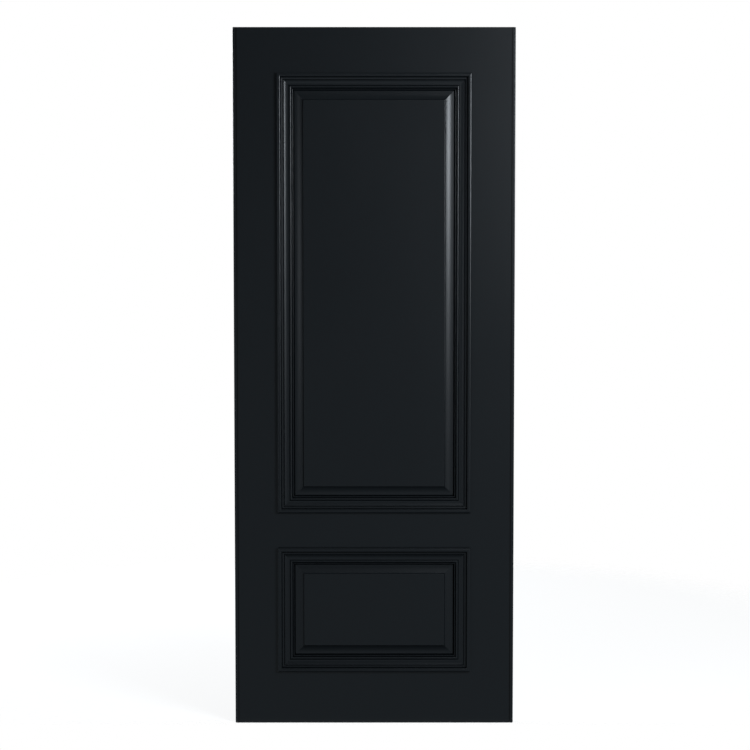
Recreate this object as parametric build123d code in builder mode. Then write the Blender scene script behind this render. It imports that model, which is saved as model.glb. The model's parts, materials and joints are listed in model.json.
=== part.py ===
from build123d import *
import os

# Panelled interior door leaf: tenoned stiles and rails, raised panels, bolection mouldings.
# X runs across the leaf, Y through its thickness with the front face towards -Y, and Z up.
# The origin is the middle of the leaf's bottom edge. Sizes are in millimetres.

# Leaf
leaf_width = 820.0
leaf_height = 2040.0
leaf_thickness = 40.0

# Stiles and rails, with each stile's width taken over its lipping
stile_width = 136.5
top_rail_width = 141.5
lock_rail_width = 124.0
bottom_rail_width = 163.5
lower_opening_height = 348.0

# Solid lipping on the two long edges
lipping_thickness = 10.0
lipping_round = 3.0
joint_chamfer = 0.5

# Groove round each opening, and the tongues of the rails and panels that fill it
groove_width = 10.4
groove_depth = 11.5
tongue_clearance = 0.2
rail_tongue_gap = 0.8
panel_movement_gap = 1.5

# Loose tenons between rails and stiles, each set in from the ends of its share of the joint
tenon_thickness = 14.0
tenon_length = 120.0
tenon_margin = 20.0
tenon_clearance = 0.1
tenon_end_gap = 2.0
tenon_chamfer = 1.5
top_rail_tenons = 1
lock_rail_tenons = 1
bottom_rail_tenons = 2

# Raised panels: margin under the moulding, channel beside it, hollowed slope, cove, round, field
recess_depth = 13.5
channel_width = 3.6
channel_depth = 3.0
slope_width = 22.7
cove_width = 1.8
cove_height = 2.3
field_round = 2.2
field_setback = 0.8
panel_shoulder_gap = 1.0

# Bolection moulding, from its outer edge inwards, with heights above the leaf's face
moulding_width = 48.1
moulding_lap = 10.0
moulding_side_gap = 0.2
crown_height = 12.0
crown_swell_width = 4.6
crown_swell_drop = 2.0
crown_flat = 3.4
crown_round = 4.0
quirk_width = 1.6
quirk_depth = 2.0
slant_height = 3.0
slant_width = 4.8
slant_drop = 0.8
lip_height = 5.0
lip_width = 0.4
throat_width = 2.0
throat_drop = 2.0
hollow_drop = 1.5
hollow_rise = 0.1
falling_share = 0.72
roll_quirk_width = 1.6
roll_quirk_depth = 1.4
roll_width = 6.6
roll_rise = 1.8
bead_quirk_width = 1.8
bead_quirk_depth = 2.0
bead_radius = 1.5
bead_foot_depth = 3.7

# Places that follow from the sizes above
face = leaf_thickness / 2
stile_inner = leaf_width / 2 - stile_width
stile_outer = leaf_width / 2 - lipping_thickness
opening_width = 2 * stile_inner
tongue_thickness = groove_width - 2 * tongue_clearance
rail_tongue = groove_depth - rail_tongue_gap
panel_tongue = groove_depth - panel_movement_gap
tenon_reach = tenon_length / 2 + tenon_end_gap
lower_opening_bottom = bottom_rail_width
lower_opening_top = lower_opening_bottom + lower_opening_height
upper_opening_bottom = lower_opening_top + lock_rail_width
upper_opening_top = leaf_height - top_rail_width

left, right = Vector(-1, 0, 0), Vector(1, 0, 0)
down, up = Vector(0, 0, -1), Vector(0, 0, 1)
front, back = Vector(0, -1, 0), Vector(0, 1, 0)


def save(piece, label):
    """Names a finished piece and writes it as its own file."""
    piece.part.label = label
    export_step(piece.part, f"parts/{label}.step")


def tenon_joint(tongue_bottom, tongue_top, count):
    """The width of the tenons in one end of a rail, and the heights of their middles."""
    pitch = (tongue_top - tongue_bottom) / count
    heights = [tongue_bottom + pitch / 2 + n * pitch for n in range(count)]
    return pitch - 2 * tenon_margin, heights


# Each rail's tongue runs past any groove in its edges
rail_tongues = {
    "top_rail": (upper_opening_top + groove_depth, leaf_height),
    "lock_rail": (lower_opening_top + groove_depth, upper_opening_bottom - groove_depth),
    "bottom_rail": (0, lower_opening_bottom - groove_depth),
}
rail_joints = {
    "top_rail": tenon_joint(*rail_tongues["top_rail"], top_rail_tenons),
    "lock_rail": tenon_joint(*rail_tongues["lock_rail"], lock_rail_tenons),
    "bottom_rail": tenon_joint(*rail_tongues["bottom_rail"], bottom_rail_tenons),
}


def cut_mortises(rail, side, mouth, bottom):
    """Cuts a rail's mortises into the current piece, between two distances from the middle."""
    tenon_width, heights = rail_joints[rail]
    with Locations(*[(side.X * (mouth + bottom) / 2, 0, z) for z in heights]):
        Box(
            abs(mouth - bottom),
            tenon_thickness + 2 * tenon_clearance,
            tenon_width + 2 * tenon_clearance,
            mode=Mode.SUBTRACT,
        )


def make_stile(label, side):
    """A full-height stile with the panel groove in its inner edge, on the given side."""
    with BuildPart() as stile:
        with BuildSketch():
            with Locations((side.X * (stile_inner + stile_outer) / 2, 0)):
                Rectangle(stile_outer - stile_inner, leaf_thickness)
            with Locations((side.X * (stile_inner + groove_depth / 2), 0)):
                Rectangle(groove_depth, groove_width, mode=Mode.SUBTRACT)
        extrude(amount=leaf_height)
        outer_face = stile.faces().sort_by(Axis.X)[-1 if side.X > 0 else 0]
        chamfer(outer_face.edges().filter_by(Axis.Z), joint_chamfer)
        for rail in rail_joints:
            cut_mortises(rail, side, stile_inner, stile_inner + tenon_reach)
    save(stile, label)


def make_lipping(label, side):
    """A solid strip on a stile's outer edge, rounded on the outside, with a fine V at its joint."""
    with BuildPart() as lipping:
        with BuildSketch():
            with Locations((side.X * (stile_outer + lipping_thickness / 2), 0)):
                Rectangle(lipping_thickness, leaf_thickness)
        extrude(amount=leaf_height)
        joint_face, outer_face = lipping.faces().filter_by(Axis.X).sort_by(SortBy.DISTANCE)
        chamfer(joint_face.edges().filter_by(Axis.Z), joint_chamfer)
        fillet(outer_face.edges(), lipping_round)
    save(lipping, label)


def make_rail(label, bottom, top):
    """A rail with tongued and mortised ends, grooved along each edge that meets a panel."""
    tongue_bottom, tongue_top = rail_tongues[label]
    with BuildPart() as rail:
        with BuildSketch(Plane.XZ.offset(-face)):
            with Locations((0, (bottom + top) / 2)):
                Rectangle(opening_width, top - bottom)
        extrude(amount=leaf_thickness)
        with BuildSketch(Plane.XZ.offset(-tongue_thickness / 2)):
            with Locations((0, (tongue_bottom + tongue_top) / 2)):
                Rectangle(opening_width + 2 * rail_tongue, tongue_top - tongue_bottom)
        extrude(amount=tongue_thickness)
        for groove_bottom, groove_top in ((bottom, tongue_bottom), (tongue_top, top)):
            if groove_top > groove_bottom:
                with Locations((0, 0, (groove_bottom + groove_top) / 2)):
                    Box(opening_width, groove_width, groove_top - groove_bottom, mode=Mode.SUBTRACT)
        for side in (left, right):
            cut_mortises(label, side, stile_inner + rail_tongue, stile_inner - tenon_reach)
    save(rail, label)


def make_tenons(label, rail):
    """The loose tenons of one rail, half in the rail and half in the stiles."""
    tenon_width, heights = rail_joints[rail]
    with BuildPart() as tenons:
        with Locations(*[(side.X * stile_inner, 0, z) for side in (left, right) for z in heights]):
            Box(tenon_length, tenon_thickness, tenon_width)
        chamfer(tenons.edges(), tenon_chamfer)
    save(tenons, label)


def panel_outline(opening):
    """A quarter of a panel's section across an opening of that width, from field to tongue."""
    sight = opening / 2
    tip = sight + panel_tongue
    shoulder = sight - panel_shoulder_gap
    channel = sight - (moulding_width - moulding_lap)
    slope_foot = channel - channel_width
    slope_top = slope_foot - slope_width
    cove_top = slope_top - cove_width
    field_edge = cove_top - field_round
    margin = face - recess_depth
    foot = margin + channel_depth
    field = face - field_setback
    arris = field - field_round
    cove_foot = arris - cove_height
    with BuildLine() as outline:
        Polyline((0, 0), (0, field), (field_edge, field))
        TangentArc((field_edge, field), (cove_top, arris), tangent=(1, 0))
        TangentArc((cove_top, arris), (slope_top, cove_foot), tangent=(0, -1))
        TangentArc((slope_foot, foot), (slope_top, cove_foot), tangent=(-1, 0))
        Polyline(
            (slope_foot, foot),
            (channel, margin),
            (shoulder, margin),
            (shoulder, tongue_thickness / 2),
            (tip, tongue_thickness / 2),
            (tip, 0),
            (0, 0),
        )
    return outline.edges()


def make_panel(label, bottom, top):
    """A panel raised on both faces: its cross-sections both ways, run through and intersected."""
    middle = (bottom + top) / 2
    across = panel_outline(opening_width)
    upright = panel_outline(top - bottom)
    with BuildPart() as panel:
        with BuildSketch(Plane.XY.offset(middle)):
            make_face(across)
            mirror(about=Plane.YZ)
            mirror(about=Plane.XZ)
        extrude(amount=(top - bottom) / 2 + panel_tongue, both=True)
        with BuildSketch(Plane(origin=(0, 0, middle), x_dir=up, z_dir=right)):
            make_face(upright)
            mirror(about=Plane.YZ)
            mirror(about=Plane.XZ)
        extrude(amount=stile_inner + panel_tongue, both=True, mode=Mode.INTERSECT)
    save(panel, label)


def moulding_outline():
    """The moulding's section: x runs inwards from its outer edge, y out from the leaf's face."""
    crown_edge = crown_height - crown_swell_drop
    crown_end = crown_swell_width + crown_flat
    first_quirk = crown_end + crown_round
    slant_start = first_quirk + quirk_width
    slant_end = slant_start + slant_width
    lip_start = slant_end + quirk_width
    throat_start = lip_start + lip_width
    throat_end = throat_start + throat_width
    bead_start = moulding_width - 2 * bead_radius
    roll_end = bead_start - bead_quirk_width
    roll_start = roll_end - roll_width
    hollow_end = roll_start - roll_quirk_width
    lowest = throat_end + falling_share * (hollow_end - throat_end)
    slant_foot = slant_height - slant_drop
    hollow_top = lip_height - throat_drop
    hollow_bottom = hollow_top - hollow_drop
    roll_foot = hollow_bottom + hollow_rise
    bead_foot = -bead_foot_depth
    rebate = moulding_lap + moulding_side_gap
    with BuildLine() as outline:
        Line((0, 0), (0, crown_edge))
        TangentArc((crown_swell_width, crown_height), (0, crown_edge), tangent=(-1, 0))
        Line((crown_swell_width, crown_height), (crown_end, crown_height))
        TangentArc((crown_end, crown_height), (first_quirk, crown_height - crown_round), tangent=(1, 0))
        Polyline(
            (first_quirk, crown_height - crown_round),
            (first_quirk, slant_height),
            (first_quirk + quirk_width / 2, slant_height - quirk_depth),
            (slant_start, slant_height),
            (slant_end, slant_foot),
            (slant_end + quirk_width / 2, slant_foot - quirk_depth),
            (lip_start, slant_foot),
            (lip_start, lip_height),
            (throat_start, lip_height),
        )
        fall = TangentArc((lowest, hollow_bottom), (throat_end, hollow_top), tangent=(-1, 0))
        TangentArc(fall @ 1, (throat_start, lip_height), tangent=fall % 1)
        TangentArc((lowest, hollow_bottom), (hollow_end, roll_foot), tangent=(1, 0))
        Polyline(
            (hollow_end, roll_foot),
            (hollow_end + roll_quirk_width / 2, roll_foot - roll_quirk_depth),
            (roll_start, roll_foot),
        )
        ThreePointArc(
            (roll_start, roll_foot),
            (roll_start + roll_width / 2, roll_foot + roll_rise),
            (roll_end, roll_foot),
        )
        Polyline(
            (roll_end, roll_foot),
            (roll_end, bead_foot),
            (roll_end + bead_quirk_width / 2, bead_foot - bead_quirk_depth),
            (bead_start, bead_foot),
        )
        TangentArc((bead_start, bead_foot), (moulding_width, bead_foot), tangent=(0, 1))
        Polyline(
            (moulding_width, bead_foot),
            (moulding_width, -recess_depth),
            (rebate, -recess_depth),
            (rebate, 0),
            (0, 0),
        )
    return outline.edges()


def make_moulding(label, middle, inward, proud, length):
    """One length of moulding, mitred at both ends, from the middle of its outer edge."""
    section = Plane(origin=middle, x_dir=inward, z_dir=inward.cross(proud))
    outline = moulding_outline()
    with BuildPart() as moulding:
        with BuildSketch(section):
            make_face(outline)
        extrude(amount=length / 2, both=True)
        for way in (section.z_dir, -section.z_dir):
            mitre = Plane(origin=middle + way * (length / 2), z_dir=way + inward)
            split(bisect_by=mitre, keep=Keep.BOTTOM)
    save(moulding, label)


def make_moulding_frame(label, bottom, top, proud):
    """The four mitred lengths round one opening, on one face of the leaf."""
    centre = Vector(0, proud.Y * face, (bottom + top) / 2)
    reach_x = stile_inner + moulding_lap
    reach_z = (top - bottom) / 2 + moulding_lap
    make_moulding(f"{label}_top", centre + up * reach_z, down, proud, 2 * reach_x)
    make_moulding(f"{label}_bottom", centre + down * reach_z, up, proud, 2 * reach_x)
    make_moulding(f"{label}_left", centre + left * reach_x, right, proud, 2 * reach_z)
    make_moulding(f"{label}_right", centre + right * reach_x, left, proud, 2 * reach_z)


os.makedirs("parts", exist_ok=True)

make_stile("left_stile", left)
make_stile("right_stile", right)
make_lipping("left_lipping", left)
make_lipping("right_lipping", right)

make_rail("top_rail", upper_opening_top, leaf_height)
make_rail("lock_rail", lower_opening_top, upper_opening_bottom)
make_rail("bottom_rail", 0, lower_opening_bottom)
for rail in rail_joints:
    make_tenons(f"{rail}_tenons", rail)

for place, bottom, top in (
    ("upper", upper_opening_bottom, upper_opening_top),
    ("lower", lower_opening_bottom, lower_opening_top),
):
    make_panel(f"{place}_panel", bottom, top)
    make_moulding_frame(f"{place}_front_moulding", bottom, top, front)
    make_moulding_frame(f"{place}_back_moulding", bottom, top, back)
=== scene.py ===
"""Looks of a panelled interior door leaf in satin black paint, in a studio with a white backdrop."""

import json
import math

import bpy
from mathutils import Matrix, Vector


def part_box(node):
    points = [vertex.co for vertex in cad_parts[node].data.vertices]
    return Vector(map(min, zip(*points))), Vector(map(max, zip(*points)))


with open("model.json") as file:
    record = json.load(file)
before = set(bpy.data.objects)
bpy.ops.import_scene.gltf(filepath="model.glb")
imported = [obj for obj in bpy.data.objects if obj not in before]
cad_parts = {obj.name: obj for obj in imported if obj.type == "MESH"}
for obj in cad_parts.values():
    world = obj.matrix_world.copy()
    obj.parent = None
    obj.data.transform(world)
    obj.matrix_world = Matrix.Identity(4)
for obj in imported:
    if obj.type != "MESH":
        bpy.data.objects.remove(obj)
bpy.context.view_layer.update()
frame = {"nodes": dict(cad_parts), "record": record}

black = (0.0, 0.0, 0.0, 1.0)
white = (1.0, 1.0, 1.0, 1.0)

# Camera, in metres and degrees, level with the upper panel and looking slightly down
camera_distance = 6.563
camera_height = 1.518
camera_tilt = 4.255
camera_pan = 0.021
camera_reach = 100.0
focal_length = 107.7
sensor_width = 36.0

# Satin black paint, a blue-green black, with scales in cells for each metre and heights in metres
paint_black = (0.0068, 0.0091, 0.0112, 1.0)
paint_black_thin = (0.0078, 0.0102, 0.0124, 1.0)
paint_roughness = 0.31
paint_roughness_spread = 0.05
paint_specular = 0.44
drift_scale = 3.0
mist_scale = 240.0
peel_scale = 420.0
peel_height = 0.0004
swell_scale = 9.0
swell_height = 0.004
skin_strength = 0.05
frame_stretch = (1.0, 1.0, 0.5)
moulding_stretch = (1.0, 1.0, 1.0)
panel_stretch = (1.0, 1.0, 0.7)

# Lipping joint: painted shade and dust in a fine darker line along both long edges, in metres from the
# middle
joint_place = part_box("right_lipping")[0].x
joint_line = 0.003
joint_shade_and_dust_colour = (0.0010, 0.0014, 0.0018, 1.0)

# Beech of the loose tenons, with scales in cells for each metre and heights in metres
beech_early = (0.62, 0.42, 0.26, 1.0)
beech_late = (0.46, 0.28, 0.15, 1.0)
beech_fleck = (0.34, 0.19, 0.10, 1.0)
beech_roughness = 0.55
beech_roughness_spread = 0.15
grain_scale = 160.0
grain_stretch = (0.04, 1.0, 1.0)
fibre_height = 0.0003
fibre_strength = 0.2
fleck_scale = 700.0
fleck_stretch = (0.12, 1.0, 1.0)
fleck_start = 0.62
fleck_full = 0.7
fleck_share = 0.6

# Studio: a white backdrop behind the leaf and a dim room before it, with levels where 1 is white
studio_fill = 0.07
backdrop_start = 0.0
backdrop_full = 0.35

# Room: pairs of a height, from 0 for straight down to 1 for straight up, and the level there
room_levels = [
    (0.0, 0.03),
    (0.12, 0.05),
    (0.26, 0.18),
    (0.4, 0.43),
    (0.465, 0.09),
    (0.5, 0.015),
    (0.56, 0.08),
    (0.75, 0.1),
    (1.0, 0.22),
]
room_colour = (0.85, 0.98, 1.08, 1.0)
side_shade = 0.25
side_start = 0.0
side_full = 0.55

# Floor, a disc behind the leaf, in metres
floor_middle = 1.4
floor_radius = 1.9
floor_solid_radius = 1.36
floor_front = -0.06
floor_front_solid = 0.04
floor_sides = 96
floor_colour = (0.5, 0.5, 0.5, 1.0)
floor_glow = 0.85

# Softboxes, each with its place, width and height in metres, and radiance where 1 is white
daylight = (0.86, 0.93, 1.0)
softbox_aim = (0.0, 0.0, 1.3)
softboxes = [
    ("right_softbox", (2.1, -2.97, 1.88), 1.36, 0.68, 23.5),
    ("upper_softbox", (0.73, -2.27, 2.7), 0.5, 0.5, 2.1),
    ("left_softbox", (-2.2, -3.7, 1.3), 1.2, 1.0, 1.7),
    ("back_softbox", (-2.5, 3.5, 2.0), 1.6, 0.8, 14.0),
]


class Wire:
    """An output socket of a node tree. Arithmetic on wires adds Math nodes to the tree."""

    def __init__(self, tree, socket=None):
        self.tree = tree
        self.socket = socket

    def node(self, kind, settings=(), inputs=(), output=0):
        """Adds a node, sets it up, fills or links its inputs, and returns one of its outputs."""
        made = self.tree.nodes.new(kind)
        for name, value in dict(settings).items():
            if name == "stops":
                set_stops(made.color_ramp, value)
            else:
                setattr(made, name, value)
        for name, value in dict(inputs).items():
            if isinstance(value, Wire):
                self.tree.links.new(value.socket, made.inputs[name])
            else:
                made.inputs[name].default_value = value
        return Wire(self.tree, made.outputs[output] if made.outputs else None)

    def math(self, operation, first, second=0.0):
        return self.node("ShaderNodeMath", {"operation": operation}, {0: first, 1: second})

    def __add__(self, other):
        return self.math("ADD", self, other)

    __radd__ = __add__

    def __sub__(self, other):
        return self.math("SUBTRACT", self, other)

    def __rsub__(self, other):
        return self.math("SUBTRACT", other, self)

    def __mul__(self, other):
        return self.math("MULTIPLY", self, other)

    __rmul__ = __mul__

    def __abs__(self):
        return self.math("ABSOLUTE", self)

    def above(self, other):
        """The larger of this wire's value and another."""
        return self.math("MAXIMUM", self, other)

    def along(self, axis):
        """One coordinate of this wire's vector."""
        return self.node("ShaderNodeSeparateXYZ", {}, {"Vector": self}, output=axis)

    def ramp(self, start, end):
        """Rises smoothly from 0 to 1 as this wire's value goes from start to end."""
        settings = {"interpolation_type": "SMOOTHSTEP"}
        inputs = {"Value": self, "From Min": start, "From Max": end}
        return self.node("ShaderNodeMapRange", settings, inputs)

    def mix(self, first, second):
        """A colour between two colours, by this wire's value. Mix's colour sockets go by number."""
        settings = {"data_type": "RGBA"}
        return self.node("ShaderNodeMix", settings, {0: self, 6: first, 7: second}, output=2)


def set_stops(ramp, stops):
    """Gives a colour ramp its stops, as pairs of a place and a colour."""
    while len(ramp.elements) < len(stops):
        ramp.elements.new(1.0)
    for element, (place, colour) in zip(ramp.elements, stops):
        element.position = place
        element.color = colour


def new_material(name):
    """An empty material and a wire that adds nodes to it."""
    material = bpy.data.materials.new(name)
    material.use_nodes = True
    material.node_tree.nodes.clear()
    return material, Wire(material.node_tree)


def give_surface(shop, inputs):
    """Ends a material's nodes with a surface that has these inputs."""
    surface = shop.node("ShaderNodeBsdfPrincipled", {}, inputs)
    shop.node("ShaderNodeOutputMaterial", {}, {"Surface": surface})


def noise(shop, place, scale, detail, stretch=(1.0, 1.0, 1.0)):
    """Noise on Object coordinates, with scale in cells for each metre."""
    stretched = shop.node("ShaderNodeMapping", {}, {"Vector": place, "Scale": stretch})
    return shop.node("ShaderNodeTexNoise", {}, {"Vector": stretched, "Scale": scale, "Detail": detail})


def relief(shop, pattern, height, strength, under=None):
    """A skin that a pattern raises by up to height, over another skin if one lies under it."""
    inputs = {"Strength": strength, "Distance": height, "Height": pattern}
    if under is not None:
        inputs["Normal"] = under
    return shop.node("ShaderNodeBump", {}, inputs)


def satin_black_paint(name, stretch, jointed=False):
    """Sprayed satin paint with fine orange peel and faint drifts, and painted shade and dust along the
    lipping joints if jointed.
    """
    material, shop = new_material(name)
    place = shop.node("ShaderNodeTexCoord", output="Object")
    drift = noise(shop, place, drift_scale, detail=3.0, stretch=stretch)
    mist = noise(shop, place, mist_scale, detail=2.0)
    peel = noise(shop, place, peel_scale, detail=1.0)
    swell = noise(shop, place, swell_scale, detail=1.0, stretch=stretch)
    colour = drift.mix(paint_black, paint_black_thin)
    if jointed:
        # Painted shade and dust: the paint darkens in a fine line along each lipping joint
        off_joint = abs(abs(place.along("X")) - joint_place)
        joint_shade_and_dust = 1.0 - off_joint.ramp(joint_line / 2, joint_line)
        colour = joint_shade_and_dust.mix(colour, joint_shade_and_dust_colour)
    unevenness = (drift - 0.5) + (mist - 0.5)
    peeled = relief(shop, peel, peel_height, skin_strength)
    give_surface(
        shop,
        {
            "Base Color": colour,
            "Roughness": paint_roughness + unevenness * paint_roughness_spread,
            "Specular IOR Level": paint_specular,
            "Normal": relief(shop, swell, swell_height, skin_strength, under=peeled),
        },
    )
    return material


def bare_beech():
    """Planed beech with its grain along X and short darker flecks."""
    material, shop = new_material("bare_beech")
    place = shop.node("ShaderNodeTexCoord", output="Object")
    grain = noise(shop, place, grain_scale, detail=4.0, stretch=grain_stretch)
    fleck = noise(shop, place, fleck_scale, detail=1.0, stretch=fleck_stretch)
    stops = [(fleck_start, black), (fleck_full, white)]
    flecked = shop.node("ShaderNodeValToRGB", {"stops": stops}, {"Fac": fleck}) * fleck_share
    give_surface(
        shop,
        {
            "Base Color": flecked.mix(grain.mix(beech_early, beech_late), beech_fleck),
            "Roughness": beech_roughness + grain * beech_roughness_spread,
            "Normal": relief(shop, grain, fibre_height, fibre_strength),
        },
    )
    return material


def paint_leaf():
    """Gives each CAD node the finish of its slot."""
    finishes = {
        "frame_paint": satin_black_paint("frame_satin_black", frame_stretch, jointed=True),
        "moulding_paint": satin_black_paint("moulding_satin_black", moulding_stretch),
        "panel_paint": satin_black_paint("panel_satin_black", panel_stretch),
        "tenon_beech": bare_beech(),
    }
    for subpart in frame["record"]["subparts"]:
        node = frame["nodes"][subpart["node"]]
        node.data.materials.clear()
        node.data.materials.append(finishes[subpart["material_slot"]])


def add_camera():
    """The photograph's view, with no lens shift."""
    camera = bpy.data.cameras.new("camera")
    camera.lens = focal_length
    camera.sensor_width = sensor_width
    camera.clip_end = camera_reach
    holder = bpy.data.objects.new("camera", camera)
    holder.location = (0.0, -camera_distance, camera_height)
    holder.rotation_euler = (math.radians(90.0 - camera_tilt), 0.0, -math.radians(camera_pan))
    bpy.context.scene.collection.objects.link(holder)
    bpy.context.scene.camera = holder


def add_softbox(name, place, width, height, radiance):
    """A rectangular soft light that faces the leaf, as bright all over as radiance says."""
    lamp = bpy.data.lights.new(name, "AREA")
    lamp.shape = "RECTANGLE"
    lamp.size = width
    lamp.size_y = height
    lamp.color = daylight
    lamp.energy = radiance * math.pi * width * height
    holder = bpy.data.objects.new(name, lamp)
    holder.location = place
    holder.rotation_euler = (Vector(softbox_aim) - Vector(place)).to_track_quat("-Z", "Y").to_euler()
    bpy.context.scene.collection.objects.link(holder)


def shown(shop):
    """1 for rays from the camera, from gloss and through glass, which all show the same studio."""
    camera = shop.node("ShaderNodeLightPath", output="Is Camera Ray")
    gloss = shop.node("ShaderNodeLightPath", output="Is Glossy Ray")
    glass = shop.node("ShaderNodeLightPath", output="Is Transmission Ray")
    return camera.above(gloss).above(glass)


def add_studio():
    """A white backdrop behind the leaf and a dim room before it, with an even fill on the leaf."""
    world = bpy.data.worlds.new("studio")
    bpy.context.scene.world = world
    world.use_nodes = True
    world.node_tree.nodes.clear()
    shop = Wire(world.node_tree)
    way = shop.node("ShaderNodeTexCoord", output="Generated")
    behind = way.along("Y").ramp(backdrop_start, backdrop_full)
    right = way.along("X").ramp(side_start, side_full)
    upward = way.along("Z") * 0.5 + 0.5
    stops = [(place, (level, level, level, 1.0)) for place, level in room_levels]
    room = shop.node("ShaderNodeValToRGB", {"stops": stops}, {"Fac": upward})
    room = room * (1.0 - right * side_shade)
    level = studio_fill + shown(shop) * (room + (1.0 - room) * behind - studio_fill)
    colour = behind.mix(room_colour, white)
    studio = shop.node("ShaderNodeBackground", {}, {"Color": colour, "Strength": level})
    shop.node("ShaderNodeOutputWorld", {}, {"Surface": studio})


def add_floor():
    """A pale floor that keeps the leaf's shadow and fades into the studio round it."""
    bpy.ops.object.select_all(action="DESELECT")
    bpy.ops.mesh.primitive_circle_add(vertices=floor_sides, radius=floor_radius, fill_type="NGON")
    floor = bpy.context.object
    floor.name = "floor"
    floor.location = (0.0, floor_middle, 0.0)
    material, shop = new_material("pale_floor")
    place = shop.node("ShaderNodeTexCoord", output="Object")
    matt = shop.node("ShaderNodeBsdfDiffuse", {}, {"Color": floor_colour})
    lit = shop.node("ShaderNodeEmission", {}, {"Color": white, "Strength": shown(shop) * floor_glow})
    both = shop.node("ShaderNodeAddShader", {}, {0: matt, 1: lit})
    clear = shop.node("ShaderNodeBsdfTransparent")
    reach = shop.node("ShaderNodeVectorMath", {"operation": "LENGTH"}, {0: place}, output="Value")
    rim = reach.ramp(floor_solid_radius, floor_radius)
    depth = place.along("Y") + floor_middle
    front = 1.0 - depth.ramp(floor_front, floor_front_solid)
    faded = shop.node("ShaderNodeMixShader", {}, {0: rim.above(front), 1: both, 2: clear})
    shop.node("ShaderNodeOutputMaterial", {}, {"Surface": faded})
    floor.data.materials.append(material)


paint_leaf()
add_camera()
add_studio()
add_floor()
for softbox in softboxes:
    add_softbox(*softbox)

bpy.context.scene.view_settings.view_transform = "Standard"
